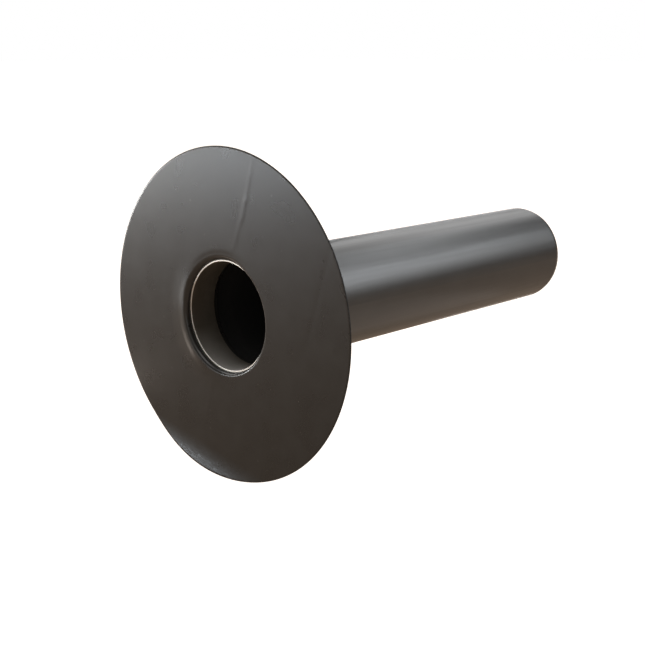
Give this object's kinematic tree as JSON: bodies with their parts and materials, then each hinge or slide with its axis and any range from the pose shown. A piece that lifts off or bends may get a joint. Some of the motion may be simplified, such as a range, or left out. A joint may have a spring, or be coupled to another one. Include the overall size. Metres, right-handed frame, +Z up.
{
  "type": "parapet roof outlet",
  "caption": "Straight dark drain pipe with a round rubber sheet flange, clamped in its socket by a metal ring. It carries rain water from a flat roof out through a parapet.",
  "frame": {"origin": "centre of the flange's back face, on the pipe's axis", "axes": "+Y along the pipe's axis, from the flange to the outlet end; +Z up"},
  "size_m": [0.32, 0.4945, 0.32],
  "materials": {
    "flange_rubber": "matte dark grey sheet rubber with a fine dull bloom",
    "ring_metal": "dull rolled stainless steel with bright cut edges",
    "pipe_plastic": "satin black extruded plastic with faint lines along its length"
  },
  "bodies": {
    "root": {"rubber_flange": "flange_rubber", "clamp_ring": "ring_metal", "outlet_pipe": "pipe_plastic"}
  },
  "joints": []
}
